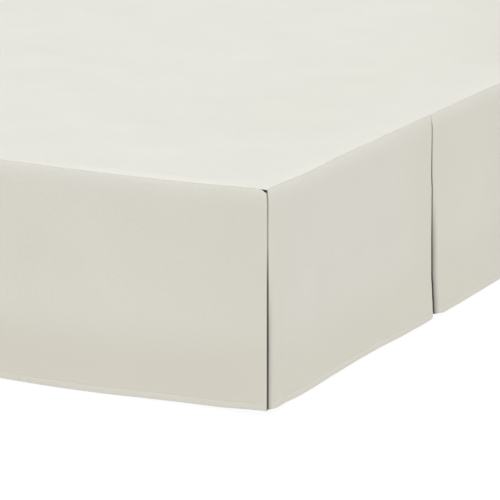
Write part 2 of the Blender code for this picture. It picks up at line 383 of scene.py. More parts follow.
class NodeBoard:
    """A material's nodes, added in order onto one Principled shader."""

    def __init__(self, name: str) -> None:
        """Start a material with a bare shader."""
        self.material = bpy.data.materials.new(name)
        self.material.use_nodes = True
        self.tree = self.material.node_tree
        self.shader = self.tree.nodes["Principled BSDF"]

    def put(self, socket: bpy.types.NodeSocket, value: object) -> None:
        """Set an input, or link it where the value is another node's output."""
        if isinstance(value, bpy.types.NodeSocket):
            self.tree.links.new(value, socket)
        else:
            socket.default_value = value

    def add(self, kind: str, inputs: dict, **settings: object) -> bpy.types.Node:
        """Add a node.

        Args:
            kind: Blender's name for the type of node.
            inputs: Values or other nodes' outputs, by input name or number.
            **settings: The node's own settings.

        Returns:
            The new node.
        """
        node = self.tree.nodes.new(kind)
        for key, value in settings.items():
            setattr(node, key, value)
        for key, value in inputs.items():
            self.put(node.inputs[key], value)
        return node

    def place(self) -> bpy.types.NodeSocket:
        """Return the place on the object."""
        return self.add("ShaderNodeTexCoord", {}).outputs["Object"]

    def shares(self, first: object, second: object, share: float) -> bpy.types.NodeSocket:
        """Return this share of the first number and the rest of the second."""
        first_part = self.math("MULTIPLY", first, share)
        return self.math("ADD", first_part, self.math("MULTIPLY", second, 1 - share))

    def math(self, operation: str, first: object, second: object) -> bpy.types.NodeSocket:
        """Return the output of a sum of two numbers."""
        node = self.add("ShaderNodeMath", {0: first, 1: second}, operation=operation)
        return node.outputs[0]

    def noise(self, vector: object, scale: float, detail: float = 2.0) -> bpy.types.NodeSocket:
        """Return the output of a noise of so many blots to the metre."""
        inputs = {"Vector": vector, "Scale": scale, "Detail": detail, "Roughness": 0.55}
        return self.add("ShaderNodeTexNoise", inputs).outputs["Fac"]

    def spread(self, value: object, low: float, high: float) -> bpy.types.NodeSocket:
        """Return a number stretched so that low becomes 0 and high becomes 1."""
        inputs = {"Value": value, "From Min": low, "From Max": high}
        return self.add("ShaderNodeMapRange", inputs, clamp=True).outputs[0]

    def blend(self, share: object, first: object, second: object) -> bpy.types.NodeSocket:
        """Return the colour this share of the way from the first to the second."""
        inputs = {0: share, 6: first, 7: second}
        node = self.add("ShaderNodeMix", inputs, data_type="RGBA", clamp_factor=True)
        return node.outputs[2]

    def thread_rows(self, vector: object, pitch: float, direction: str) -> bpy.types.NodeSocket:
        """Return even bands of threads.

        Args:
            vector: The place on the cloth.
            pitch: The distance from thread to thread.
            direction: The axis across the threads, X or Y.

        Returns:
            The height of the threads, 0 to 1.
        """
        inputs = {"Vector": vector, "Scale": 2 * math.pi / (20 * pitch), "Distortion": 0.0}
        settings = {"wave_type": "BANDS", "bands_direction": direction}
        return self.add("ShaderNodeTexWave", inputs, **settings).outputs["Fac"]

    def bump(self, height: object, distance: float, strength: float, under: object = None) -> object:
        """Return a normal raised by a height.

        Args:
            height: The height, 0 to 1.
            distance: What a height of 1 stands for, in metres.
            strength: How strongly it shows.
            under: A coarser normal below this one.

        Returns:
            The normal's output.
        """
        inputs = {"Height": height, "Distance": distance, "Strength": strength}
        if under is not None:
            inputs["Normal"] = under
        return self.add("ShaderNodeBump", inputs).outputs["Normal"]

    def finish(self, **inputs: object) -> bpy.types.Material:
        """Set the shader's inputs, with _ for each space, and return the material."""
        for key, value in inputs.items():
            self.put(self.shader.inputs[key.replace("_", " ")], value)
        return self.material


def rgba(colour: Colour) -> tuple[float, float, float, float]:
    """Return a colour with full opacity."""
    return (*colour, 1.0)


@dataclass(frozen=True)
class MicrofibreFinish:
    """Brushed microfibre: a fine plain weave under a short nap, slightly uneven in tone."""

    name: str = "ivory_microfibre"
    pale: Colour = (0.775, 0.749, 0.652)
    deep: Colour = (0.733, 0.695, 0.609)
    # Painted shade's colour, low on the drops and in their darker patches.
    warm_shade_colour: Colour = (0.726, 0.686, 0.585)
    # Painted shade's colour inside the pleats and corner folds, nearly black.
    fold_shade_colour: Colour = (0.085, 0.075, 0.060)
    thread_pitch: float = 0.0006
    nap_per_metre: float = 900.0
    mottle_per_metre: float = 170.0
    cloud_per_metre: float = 8.0
    mottle_share: float = 0.55
    roughness: float = 0.88
    sheen: float = 0.12

    def material(self) -> bpy.types.Material:
        """Make the skirt cloth's material.

        Returns:
            The material.
        """
        board = NodeBoard(self.name)
        where, shade, warm_shade_node = (
            board.add("ShaderNodeAttribute", {}, attribute_name=name)
            for name in (PLACE_ATTRIBUTE, SHADE_ATTRIBUTE, WARM_SHADE_ATTRIBUTE)
        )
        place = where.outputs["Vector"]
        warp = board.thread_rows(place, self.thread_pitch, "X")
        weft = board.thread_rows(place, self.thread_pitch, "Y")
        weave = board.math("MULTIPLY", warp, weft)
        nap = board.noise(place, self.nap_per_metre, 3.0)
        mottle = board.noise(place, self.mottle_per_metre, 3.0)
        cloud = board.noise(place, self.cloud_per_metre, 3.0)
        tone = board.shares(mottle, cloud, self.mottle_share)
        colour = board.blend(board.spread(tone, 0.3, 0.7), rgba(self.deep), rgba(self.pale))
        # Painted shade: darker and warmer low on the drops and in patches.
        colour = board.blend(warm_shade_node.outputs["Fac"], colour, rgba(self.warm_shade_colour))
        # Painted shade inside the folds.
        colour = board.blend(shade.outputs["Fac"], colour, rgba(self.fold_shade_colour))
        raised = board.bump(board.math("ADD", weave, nap), 0.00012, 0.35)
        raised = board.bump(mottle, 0.0004, 0.12, raised)
        return board.finish(
            Base_Color=colour, Roughness=self.roughness, Normal=raised,
            Sheen_Weight=self.sheen, Sheen_Roughness=0.5, Specular_IOR_Level=0.25,
        )


@dataclass(frozen=True)
class GrainFinish:
    """One fine grain that is both raised and paler, as on twisted thread or scuffed plastic.

    low and high are the noise at which the deep and the pale colour are reached. A noise
    of 1 stands height above the surface, and shows by strength.
    """

    name: str
    deep: Colour
    pale: Colour
    grain_per_metre: float
    detail: float
    low: float
    high: float
    height: float
    strength: float
    roughness: float

    def material(self) -> bpy.types.Material:
        """Make the material.

        Returns:
            The material.
        """
        board = NodeBoard(self.name)
        grain = board.noise(board.place(), self.grain_per_metre, self.detail)
        paleness = board.spread(grain, self.low, self.high)
        colour = board.blend(paleness, rgba(self.deep), rgba(self.pale))
        raised = board.bump(grain, self.height, self.strength)
        return board.finish(Base_Color=colour, Roughness=self.roughness, Normal=raised)


SEWING_THREAD = GrainFinish(
    name="sewing_thread", deep=(0.66, 0.63, 0.54), pale=(0.76, 0.74, 0.66),
    grain_per_metre=2600.0, detail=1.0, low=0.35, high=0.65, height=0.0001, strength=0.4,
    roughness=0.6,
)
GLIDE_PLASTIC = GrainFinish(
    name="glide_plastic", deep=(0.09, 0.09, 0.092), pale=(0.16, 0.16, 0.16),
    grain_per_metre=180.0, detail=5.0, low=0.5, high=0.75, height=0.0002, strength=0.2,
    roughness=0.5,
)


@dataclass(frozen=True)
class TickingFinish:
    """The box spring's woven cover, with a fine herringbone in two pale greys."""

    name: str = "woven_ticking"
    pale: Colour = (0.70, 0.685, 0.645)
    deep: Colour = (0.56, 0.545, 0.505)
    stripe_pitch: float = 0.012
    thread_pitch: float = 0.0011
    weave_share: float = 0.5

    def material(self) -> bpy.types.Material:
        """Make the ticking's material.

        Returns:
            The material.
        """
        board = NodeBoard(self.name)
        place = board.place()
        parts = board.add("ShaderNodeSeparateXYZ", {0: place})
        level = board.math("ADD", parts.outputs["X"], parts.outputs["Y"])
        inputs = {"X": level, "Y": parts.outputs["Z"], "Z": 0.0}
        flat = board.add("ShaderNodeCombineXYZ", inputs).outputs[0]
        stripe = board.thread_rows(flat, self.stripe_pitch, "X")
        slanted = board.thread_rows(place, self.thread_pitch, "DIAGONAL")
        upright = board.thread_rows(flat, self.thread_pitch, "X")
        weave = board.add("ShaderNodeMix", {0: stripe, 2: slanted, 3: upright}).outputs[0]
        cloud = board.noise(place, 12.0, 3.0)
        tone = board.shares(weave, cloud, self.weave_share)
        colour = board.blend(board.spread(tone, 0.2, 0.8), rgba(self.deep), rgba(self.pale))
        raised = board.bump(weave, 0.0002, 0.4)
        return board.finish(Base_Color=colour, Roughness=0.85, Normal=raised, Sheen_Weight=0.1)


@dataclass(frozen=True)
class DustCoverFinish:
    """The thin felted cloth stapled under a box spring."""

    name: str = "dust_cover"
    pale: Colour = (0.20, 0.20, 0.205)
    deep: Colour = (0.12, 0.12, 0.125)
    dots_per_metre: float = 420.0
    fibres_per_metre: float = 260.0

    def material(self) -> bpy.types.Material:
        """Make the dust cover's material.

        Returns:
            The material.
        """
        board = NodeBoard(self.name)
        place = board.place()
        dots = board.add(
            "ShaderNodeTexVoronoi",
            {"Vector": place, "Scale": self.dots_per_metre, "Randomness": 0.35},
        ).outputs["Distance"]
        fibres = board.noise(place, self.fibres_per_metre, 4.0)
        colour = board.blend(board.spread(fibres, 0.3, 0.7), rgba(self.deep), rgba(self.pale))
        raised = board.bump(dots, 0.0002, 0.5)
        return board.finish(Base_Color=colour, Roughness=0.9, Normal=raised)


@dataclass(frozen=True)
class PowderCoatFinish:
    """Satin black powder coat with its fine orange-peel skin and dusty tops."""

    name: str = "black_powder_coat"
    base: Colour = (0.030, 0.030, 0.032)
    dusty: Colour = (0.075, 0.073, 0.070)
    peel_per_metre: float = 650.0

    def material(self) -> bpy.types.Material:
        """Make the steel frame's material.

        Returns:
            The material.
        """
        board = NodeBoard(self.name)
        place = board.place()
        facing = board.add("ShaderNodeNewGeometry", {}).outputs["Normal"]
        upward = board.add("ShaderNodeSeparateXYZ", {0: facing}).outputs["Z"]
        peel = board.noise(place, self.peel_per_metre, 2.0)
        wear = board.noise(place, 24.0, 4.0)
        dust = board.math("MULTIPLY", board.spread(upward, 0.2, 1.0), board.spread(wear, 0.4, 0.7))
        colour = board.blend(dust, rgba(self.base), rgba(self.dusty))
        rough = board.math("ADD", board.math("MULTIPLY", wear, 0.2), 0.36)
        raised = board.bump(peel, 0.0003, 0.25)
        return board.finish(Base_Color=colour, Roughness=rough, Normal=raised)


@dataclass(frozen=True)
class FloorFinish:
    """The pale seamless floor that the bed stands on."""

    name: str = "pale_floor"
    pale: Colour = (0.080, 0.080, 0.080)
    deep: Colour = (0.072, 0.072, 0.072)
    lit: Colour = (1.0, 1.0, 1.0)
    glow: float = 0.95

    def material(self) -> bpy.types.Material:
        """Make the floor's material.

        Returns:
            The material.
        """
        board = NodeBoard(self.name)
        cloud = board.noise(board.place(), 0.7, 2.0)
        colour = board.blend(cloud, rgba(self.deep), rgba(self.pale))
        return board.finish(
            Base_Color=colour, Roughness=0.9, Specular_IOR_Level=0.1,
            Emission_Color=rgba(self.lit), Emission_Strength=self.glow,
        )


# Cloth meshes


@dataclass
class Sheet:
    """A closed sheet of cloth between two grids of points, its faces and its edges."""

    outer: list[list[Vector]] = field(default_factory=list)
    inner: list[list[Vector]] = field(default_factory=list)
    places: list[list[Point]] = field(default_factory=list)
    # Painted shade, one value a point: darker and warmer low down and in patches, and dark inside the
    # folds.
    warm_shade_values: list[float] = field(default_factory=list)
    shades: list[float] = field(default_factory=list)

    def add_row(self, outer: list[Vector], inner: list[Vector], places: list[Point]) -> None:
        """Add one row of points with their places on the flat cut."""
        self.outer.append(outer)
        self.inner.append(inner)
        self.places.append(places)

    def faces(self) -> list[tuple[int, int, int, int]]:
        """List the sheet's faces, both sides and the rim.

        Returns:
            The corners of each face.
        """
        rows, columns = len(self.outer), len(self.outer[0])
        behind = rows * columns
        found = []
        for i in range(rows - 1):
            for j in range(columns - 1):
                a, b = i * columns + j, (i + 1) * columns + j
                found.append((a, a + 1, b + 1, b))
                found.append((behind + b, behind + b + 1, behind + a + 1, behind + a))
        rim = [j for j in range(columns)]
        rim += [i * columns + columns - 1 for i in range(1, rows)]
        rim += [(rows - 1) * columns + j for j in range(columns - 2, -1, -1)]
        rim += [i * columns for i in range(rows - 2, 0, -1)]
        for here, after in zip(rim, rim[1:] + rim[:1]):
            found.append((after, here, behind + here, behind + after))
        return found

    def build(self, name: str, material: bpy.types.Material) -> bpy.types.Object:
        """Make the sheet's object.

        Args:
            name: The piece's name.
            material: Its finish.

        Returns:
            The new object, at the origin, with its place on the cut as an attribute.
        """
        points = [p for grid in (self.outer, self.inner) for row in grid for p in row]
        mesh = bpy.data.meshes.new(name)
        mesh.from_pydata(points, [], self.faces())
        turn_outward(mesh)
        places = [value for row in self.places for place in row for value in place] * 2
        mesh.attributes.new(PLACE_ATTRIBUTE, "FLOAT_VECTOR", "POINT")
        mesh.attributes[PLACE_ATTRIBUTE].data.foreach_set("vector", places)
        plain = [0.0] * (len(points) // 2)
        shades = (self.shades or plain) + plain
        for attribute, values in ((SHADE_ATTRIBUTE, shades), (WARM_SHADE_ATTRIBUTE, self.warm_shade_values * 2)):
            mesh.attributes.new(attribute, "FLOAT", "POINT")
            mesh.attributes[attribute].data.foreach_set("value", values)
        mesh.shade_smooth()
        return link_piece(name, mesh, material)


def turn_outward(mesh: bpy.types.Mesh) -> None:
    """Point the faces of a closed mesh outward.

    Args:
        mesh: The mesh to change.
    """
    shell = bmesh.new()
    shell.from_mesh(mesh)
    bmesh.ops.recalc_face_normals(shell, faces=shell.faces)
    shell.to_mesh(mesh)
    shell.free()


def link_piece(name: str, mesh: bpy.types.Mesh, material: bpy.types.Material) -> bpy.types.Object:
    """Put a mesh into the scene as a named object with one finish."""
    mesh.materials.append(material)
    piece = bpy.data.objects.new(name, mesh)
    bpy.context.scene.collection.objects.link(piece)
    return piece


# The drops


class BedSide(Enum):
    """The three sides of the bed that carry a drop, by the solid that each replaces."""

    RIGHT = "drop_right"
    LEFT = "drop_left"
    FOOT = "drop_foot"

    def origin(self, cut: SkirtCut) -> Vector:
        """Return the corner of the bed from which places along this side are measured."""
        across = 1 if self is BedSide.RIGHT else -1
        return Vector((across * cut.width / 2, -cut.length / 2, 0))

    @property
    def along(self) -> Vector:
        """Return the direction along this side, from its corner."""
        return Vector((1, 0, 0)) if self is BedSide.FOOT else Vector((0, 1, 0))

    @property
    def inward(self) -> Vector:
        """Return the direction from this side's face into the bed."""
        into = {BedSide.RIGHT: (-1, 0, 0), BedSide.LEFT: (1, 0, 0), BedSide.FOOT: (0, 1, 0)}
        return Vector(into[self])

    def reach(self, cut: SkirtCut) -> float:
        """Return the length of this side of the bed."""
        return cut.width if self is BedSide.FOOT else cut.length


@dataclass
class Drop:
    """One strip of the skirt, pleated and hung from the deck's edge."""

    side: BedSide
    start: PanelEnd
    pleats: Sequence[Pleat]
    end: Optional[PanelEnd]
    bows: Sequence[Wave]
    creases: Sequence[Crease]
    # Darker, warmer patches of painted shade low on the drop, in a crease's shape whose rise is their
    # share.
    shade_patches: Sequence[Crease]
    hem_dips: Sequence[Wave]
    sags: Sequence[Wave]
    sways: Sequence[Sway]
    seed: float
    cut: SkirtCut = field(default_factory=SkirtCut)
    front_pitch: float = 0.0085
    row_pitch: float = 0.0065
    roll_steps: int = 6
    bend_steps: int = 6
    inner_fold_steps: int = 6
    return_steps: int = 3
    edge_steps: int = 6
    rumple: float = 0.0005
    rumples_along: float = 16.0
    rumples_down: float = 5.0
    easing: float = 6.0
    corner_reach: float = 0.080
    # Painted shade, darker and warmer over the lowest part of the drop, with less of it in the double
    # hem.
    warm_shade_start: float = 0.050
    warm_shade_end: float = 0.150
    hem_warm_shade: float = 0.35
    # Painted shade inside the folds: shut near the seam, growing round each bend, paler at the top of
    # the corners.
    closed_share: float = 0.055
    corner_shade: float = 0.55
    shaded_from: tuple[float, float] = (0.35, 0.65)
    fold_shading_turns: tuple[float, float] = (0.2, 1.2)
    pale_share: tuple[float, float] = (0.2, 0.45)

    @property
    def reach(self) -> float:
        """Return the length of the side that the drop hangs on."""
        return self.side.reach(self.cut)

    @property
    def name(self) -> str:
        """Return the piece's name."""
        return f"{self.side.value}_cloth"

    def fold_at(self, middle: float, towards: int, end: PanelEnd, share: float) -> Sequence[float]:
        """Return where a fold's tip stands, how far back it lies, and its radius.

        Args:
            middle: The pleat's middle along the side.
            towards: 1 where the panel runs up to the pleat, -1 where it runs on from it.
            end: The panel's folded end.
            share: How far down the front.

        Returns:
            The tip's place along the side, its tuck and its bend.
        """
        settled = self.cut.settled
        drift = settled(0.0, end.tip_hem - end.tip_top, share) * (1 - end.late * (1 - share))
        out = end.tip_top + drift + self.cut.solid_cloth / 2
        tuck = settled(end.tuck_top, end.tuck_hem, share)
        return middle - towards * out, tuck, settled(end.bend_top, end.bend_hem, share)

    def folded_end(
        self, middle: float, towards: int, end: PanelEnd, share: float
    ) -> list[Column]:
        """Return a panel's end at one height: its roll, bend, return and inner fold.

        Args:
            middle: The pleat's middle along the side.
            towards: 1 where the panel runs up to the pleat, -1 where it runs on from it.
            end: The panel's folded end.
            share: How far down the front.

        Returns:
            The columns in order from the front.
        """
        cut = self.cut
        tip, tuck, bend = self.fold_at(middle, towards, end, share)
        roll = cut.settled(end.roll_top, end.roll_hem, share)
        tip_angle = cut.front_angle - end.notch
        tucked_angle = min(cut.tucked_angle, tip_angle)
        shaded = end.shaded * eased(share, *self.shaded_from)
        columns = []
        for step in range(self.roll_steps):
            done = step / self.roll_steps
            along = tip - towards * (roll + (bend - roll) * done)
            depth = tuck * (1 - math.cos(math.pi / 2 * done))
            angle = cut.front_angle - end.notch * done**2
            columns.append(Column(along, depth, angle, end.rise, True, shaded * done**2))
        for step in range(self.bend_steps + 1):
            turn = math.pi * step / self.bend_steps
            behind = max(2 * step / self.bend_steps - 1, 0)
            angle = tip_angle + (tucked_angle - tip_angle) * behind
            lift = end.rise + (cut.tucked_lift - end.rise) * behind
            level = cut.level_share(share, angle)
            tip, tuck, bend = self.fold_at(middle, towards, end, level)
            along = tip - towards * bend * (1 - math.sin(turn))
            depth = tuck + bend * (1 - math.cos(turn))
            # Painted shade grows as the bend turns into the pleat.
            fold_shading = max(eased(turn, *self.fold_shading_turns), shaded)
            columns.append(Column(along, depth, angle, lift, False, fold_shading))
        back = tuck + 2 * bend
        under = self.under_depth(cut.level_share(share, tucked_angle))
        first = columns[-1].along
        last = tip - towards * cut.pleat_depth
        for step in range(1, self.return_steps):
            along = first + (last - first) * step / self.return_steps
            columns.append(Column(along, back, tucked_angle, cut.tucked_lift, False))
        for step in range(self.inner_fold_steps + 1):
            turn = math.pi * step / self.inner_fold_steps
            along = last - towards * (under - back) / 2 * math.sin(turn)
            depth = (under + back) / 2 - (under - back) / 2 * math.cos(turn)
            columns.append(Column(along, depth, tucked_angle, cut.tucked_lift, False))
        return columns

    def under_depth(self, share: float) -> float:
        """Return how far behind the face the pleat's underlay lies."""
        return self.cut.settled(self.cut.under_top, self.cut.under_hem, share)

    def corner_underlay(self, corner: float, towards: int, share: float) -> Column:
        """Place the underlay's end at a corner, where the foot's strip meets the side's.

        Args:
            corner: The corner's place along the side.
            towards: 1 at the side's end, -1 at its start.
            share: How far down the front.

        Returns:
            The strip's outermost column.
        """
        depth = self.under_depth(self.cut.level_share(share, 0.0))
        reach = depth - self.cut.solid_cloth / 2
        if self.side is not BedSide.FOOT:
            reach = depth + self.cut.solid_cloth / 2 + self.cut.piece_gap
        return Column(corner - towards * reach, depth, 0.0, self.cut.tucked_lift, False)

    def front(self, first: float, last: float, nominal: float) -> list[Column]:
        """Return the columns of a panel's face between its two ends.

        Args:
            first: Where the face starts at this height.
            last: Where it ends.
            nominal: The panel's nominal width, which sets how many columns there are.

        Returns:
            The columns between the two, without either.
        """
        steps = round(nominal / self.front_pitch)
        places = [first + (last - first) * step / steps for step in range(1, steps)]
        return [Column(along, 0.0, self.cut.front_angle, 0.0, True, 0.0) for along in places]

    def columns(self, share: float) -> list[Column]:
        """Lay out the whole strip in plan at one height, from its first end to its last.

        Args:
            share: How far down the front.

        Returns:
            The columns in order.
        """
        found = [self.corner_underlay(0.0, -1, share)]
        found += reversed(self.folded_end(0.0, -1, self.start, share))
        place = 0.0
        for pleat in self.pleats:
            panel_end = self.folded_end(pleat.middle, 1, pleat.before, share)
            found += self.front(found[-1].along, panel_end[0].along, pleat.middle - place)
            found += panel_end
            found += reversed(self.folded_end(pleat.middle, -1, pleat.after, share))
            place = pleat.middle
        if self.end is None:
            last = self.reach - self.cut.head_inset
            found += self.front(found[-1].along, last, self.reach - place)
            found.append(Column(last, 0.0, self.cut.front_angle, 0.0, True, 0.0))
            return found
        panel_end = self.folded_end(self.reach, 1, self.end, share)
        found += self.front(found[-1].along, panel_end[0].along, self.reach - place)
        found += panel_end
        found.append(self.corner_underlay(self.reach, 1, share))
        return found

    def hem_lift(self, column: Column) -> float:
        """Work out how far the hem is lifted at a column: most at the folded tips.

        Args:
            column: The column.

        Returns:
            The lift, less any dip of the hem there.
        """
        dips = sum(dip.at(column.along) for dip in self.hem_dips)
        if not column.is_front:
            return column.lift - dips
        tips = [(0.0, self.start)]
        for pleat in self.pleats:
            near = pleat.before if column.along < pleat.middle else pleat.after
            tips.append((pleat.middle, near))
        if self.end is not None:
            tips.append((self.reach, self.end))
        lifts = []
        for at, end in tips:
            beyond = max(abs(column.along - at) - end.tip_hem, 0)
            lifts.append(end.rise * bump(beyond, end.run))
        return max(lifts) - dips

    def bowed(self, along: float, height: float) -> float:
        """Work out how far the cloth stands in at a place, from its bows and creases.

        Args:
            along: The place along the side.
            height: Its height.

        Returns:
            The distance inward.
        """
        base = self.cut.round_centre
        fallen = max(base - height, 0) / (base - self.cut.hem_clearance)
        inward = fallen * sum(bow.at(along) for bow in self.bows)
        easing = min(fallen * self.easing, 1.0)
        for crease in self.creases:
            inward -= crease.height_at(along, height) * easing
        where = Vector((along * self.rumples_along, height * self.rumples_down, self.seed))
        waver = noise.noise(where)
        return inward + waver * self.rumple * easing

    def place(self, along: float, depth: float, column: Column, share: float) -> Vector:
        """Return a point of the cloth, leaning out below its seam and then straight down.

        Args:
            along: Its place along the side.
            depth: How far behind the face it lies.
            column: The column that it is on.
            share: How far down the column.

        Returns:
            The point.
        """
        cut = self.cut
        radius = cut.edge_round - depth
        over_edge = radius * column.top_angle
        hem = cut.hem_clearance + self.hem_lift(column)
        down = share * (over_edge + cut.round_centre - hem)
        if down < over_edge:
            angle = column.top_angle - down / radius
            inward = cut.edge_round - radius * math.cos(angle)
            height = cut.round_centre + radius * math.sin(angle)
        else:
            inward = depth
            height = cut.round_centre - (down - over_edge)
        inward += self.bowed(along, height)
        above = max(height - cut.round_centre, 0)
        lean = cut.edge_round - math.sqrt(cut.edge_round**2 - above**2)
        up = (height - cut.hem_clearance) / cut.drop_height
        height -= up * sum(sag.at(along) for sag in self.sags)
        shift = sum(sway.shift_at(along, height) for sway in self.sways)
        shift += lean * bump(along, self.corner_reach)
        if self.end is not None:
            shift -= lean * bump(along - self.reach, self.corner_reach)
        along += shift
        flat = self.side.origin(cut) + self.side.along * along + self.side.inward * inward
        return flat + Vector((0, 0, height))

    def curled(self, column: Column, row: Row, offset: float) -> Vector:
        """Return how far the sewn top edge's curl moves a point of the first row.

        Args:
            column: The column that the point is on.
            row: The row, with the angle of its curl and how far it then runs in.
            offset: The point's own distance outward from the middle of the cloth.

        Returns:
            The move, up over the seam and then in.
        """
        out, angle = -self.side.inward, column.top_angle
        normal = out * math.cos(angle) + Vector((0, 0, math.sin(angle)))
        onward = Vector((0, 0, math.cos(angle))) - out * math.sin(angle)
        return self.cut.curled(normal, onward, (row.rolled, row.sunk), offset)

    def rows(self) -> list[Row]:
        """List the level lines, close together at the seam, below it and at the hem.

        Returns:
            The rows from the seam down.
        """
        cut = self.cut
        found = [Row(0.0, *turn) for turn in cut.seam_turns()]
        edge = cut.edge_round * cut.front_angle / cut.face_length
        found += [Row(edge * step / self.edge_steps) for step in range(self.edge_steps)]
        first_turn = 1 - HEM_TURNS[0].above * cut.hem_height / cut.face_length
        steps = round((first_turn - edge) * cut.face_length / self.row_pitch)
        found += [Row(edge + (first_turn - edge) * step / steps) for step in range(steps)]
        for turn in HEM_TURNS:
            share = 1 - turn.above * cut.hem_height / cut.face_length
            found.append(Row(share, swell=turn.swell, inner=turn.inner))
        found.append(Row(1.0, swell=-0.0002, outer=0.5, inner=1.6))
        return found

    def build(self, finish: bpy.types.Material) -> bpy.types.Object:
        """Make the drop's cloth, which stands for its solid.

        Args:
            finish: The cloth's material.

        Returns:
            The piece.
        """
        cut = self.cut
        half = cut.cloth / 2
        sheet = Sheet()
        middle_row = self.columns(0.5)
        cut_along = [0.0]
        for before, after in zip(middle_row, middle_row[1:]):
            step = math.hypot(after.along - before.along, after.depth - before.depth)
            cut_along.append(cut_along[-1] + step)
        for row in self.rows():
            columns = self.columns(row.share)
            outer, inner, places = [], [], []
            for index, column in enumerate(columns):
                before = columns[max(index - 1, 0)]
                after = columns[min(index + 1, len(columns) - 1)]
                step = Vector((after.along - before.along, after.depth - before.depth))
                step.normalize()
                is_flat = column.depth == 0
                swell = row.swell if is_flat else 0.0
                behind = row.inner if is_flat else min(row.inner, 1.0)
                for grid, offset in ((outer, half * row.outer), (inner, -half * behind)):
                    along = column.along + offset * step.y
                    depth = column.depth - offset * step.x - swell
                    point = self.place(along, depth, column, row.share)
                    if row.rolled:
                        point += self.curled(column, row, offset)
                    grid.append(point)
                down = row.share * cut.face_length - row.rolled * cut.seam_curl - row.sunk
                places.append((cut_along[index], down, 0.0))
                sheet.warm_shade_values.append(self.warm_shade_share(column, row))
                sheet.shades.append(self.shade_at(column, row))
            sheet.add_row(outer, inner, places)
        piece = sheet.build(self.name, finish)
        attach(piece, ROOT)
        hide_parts(self.side.value)
        return piece

    def warm_shade_share(self, column: Column, row: Row) -> float:
        """Work out how much painted shade darkens and warms the cloth: most low down, and less in the
        double hem.

        Args:
            column: The column.
            row: The row.

        Returns:
            The share of the painted shade's darker, warmer colour.
        """
        above_hem = (1 - row.share) * self.cut.face_length
        low = 1 - eased(above_hem, self.warm_shade_start, self.warm_shade_end)
        if above_hem < self.cut.hem_height:
            low = self.hem_warm_shade
        # Patches of painted shade, most of them near the corners and pleats, add to it.
        return low + sum(shade_patch.height_at(column.along, above_hem) for shade_patch in self.shade_patches)

    def shade_at(self, column: Column, row: Row) -> float:
        """Work out how much painted shade a fold's inside gets: little at the seam, where it is shut.

        Args:
            column: The column.
            row: The row.

        Returns:
            The share of the fold's own shade.
        """
        closed = eased(row.share, self.closed_share / 3, self.closed_share)
        near = bump(column.along, self.corner_reach)
        if self.end is not None:
            near += bump(column.along - self.reach, self.corner_reach)
        pale = near * (1 - self.corner_shade) * (1 - eased(row.share, *self.pale_share))
        return column.fold_shading * max(closed, near) * (1 - pale)

    def flat_size(self) -> tuple[float, float]:
        """Return the strip's size as cut, with its pleats, hem and seam opened out."""
        inner = 4 * self.cut.pleat_depth * len(self.pleats)
        corners = 2 * self.cut.pleat_depth * (1 if self.end is None else 2)
        height = self.cut.face_length + self.cut.hem_height + self.cut.seam_allowance
        return self.reach + inner + corners, height

    def on_face(self, along: float, above_hem: float, out: float) -> Vector:
        """Return a point on the strip's face, this far above its hem and out from it."""
        share = 1 - above_hem / self.cut.face_length
        column = Column(along, 0.0, self.cut.front_angle, 0.0, True, 0.0)
        return self.place(along, -self.cut.cloth / 2 - out, column, share)

    def fronts(self) -> list[tuple[float, float]]:
        """Find where each panel's flat face starts and ends at the hem.

        Returns:
            The start and end of each face, in order.
        """
        found, start = [], self.start.tip_hem + self.start.roll_hem
        for pleat in self.pleats:
            stop = pleat.middle - pleat.before.tip_hem - pleat.before.roll_hem
            found.append((start, stop))
            start = pleat.middle + pleat.after.tip_hem + pleat.after.roll_hem
        stop = self.reach - self.cut.head_inset
        if self.end is not None:
            stop = self.reach - self.end.tip_hem - self.end.roll_hem
        found.append((start, stop))
        return found


# Sewing


@dataclass
class Stitching:
    """A row of lockstitches, each a short thread pulled slightly into the cloth."""

    name: str
    pitch: float = 0.0032
    length: float = 0.0024
    thread: float = 0.00042
    sunk: float = 0.00018

    def unit(self) -> bpy.types.Mesh:
        """Model one stitch, lying along X.

        Returns:
            Its mesh.
        """
        deselect_all()
        bpy.ops.mesh.primitive_uv_sphere_add(segments=6, ring_count=4, radius=0.5)
        made = bpy.context.object
        mesh = made.data
        mesh.transform(Matrix.Diagonal((self.length, self.thread, self.thread, 1)))
        bpy.data.objects.remove(made)
        return mesh

    def build(
        self, runs: Sequence[Sequence[Vector]], outs: Sequence[Vector], finish: bpy.types.Material
    ) -> bpy.types.Object:
        """Lay the stitches end to end along lines of points, one stitch a step.

        Args:
            runs: Lines of points a pitch apart.
            outs: The direction out of the cloth, one for each line.
            finish: The thread's material.

        Returns:
            The piece, all its stitches in one mesh.
        """
        unit = self.unit()
        joined = bmesh.new()
        for run, out in zip(runs, outs):
            for here, after in zip(run, run[1:]):
                forward = (after - here).normalized()
                across = out.cross(forward).normalized()
                up = forward.cross(across)
                turn = Matrix((forward, across, up)).transposed().to_4x4()
                known = len(joined.verts)
                joined.from_mesh(unit)
                joined.verts.ensure_lookup_table()
                placed = Matrix.Translation((here + after) / 2) @ turn
                bmesh.ops.transform(joined, matrix=placed, verts=joined.verts[known:])
        mesh = bpy.data.meshes.new(self.name)
        joined.to_mesh(mesh)
        joined.free()
        mesh.shade_smooth()
        piece = link_piece(self.name, mesh, finish)
        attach(piece, ROOT)
        return piece

    def along_hem(self, drop: Drop, finish: bpy.types.Material) -> bpy.types.Object:
        """Sew the hem of a drop, panel by panel.

        Args:
            drop: The drop.
            finish: The thread's material.

        Returns:
            The piece.
        """
        runs = []
        for start, stop in drop.fronts():
            count = int((stop - start) / self.pitch)
            places = [start + self.pitch * step for step in range(count + 1)]
            runs.append([drop.on_face(a, drop.cut.hem_height, -self.sunk) for a in places])
        return self.build(runs, [-drop.side.inward] * len(runs), finish)


# The deck


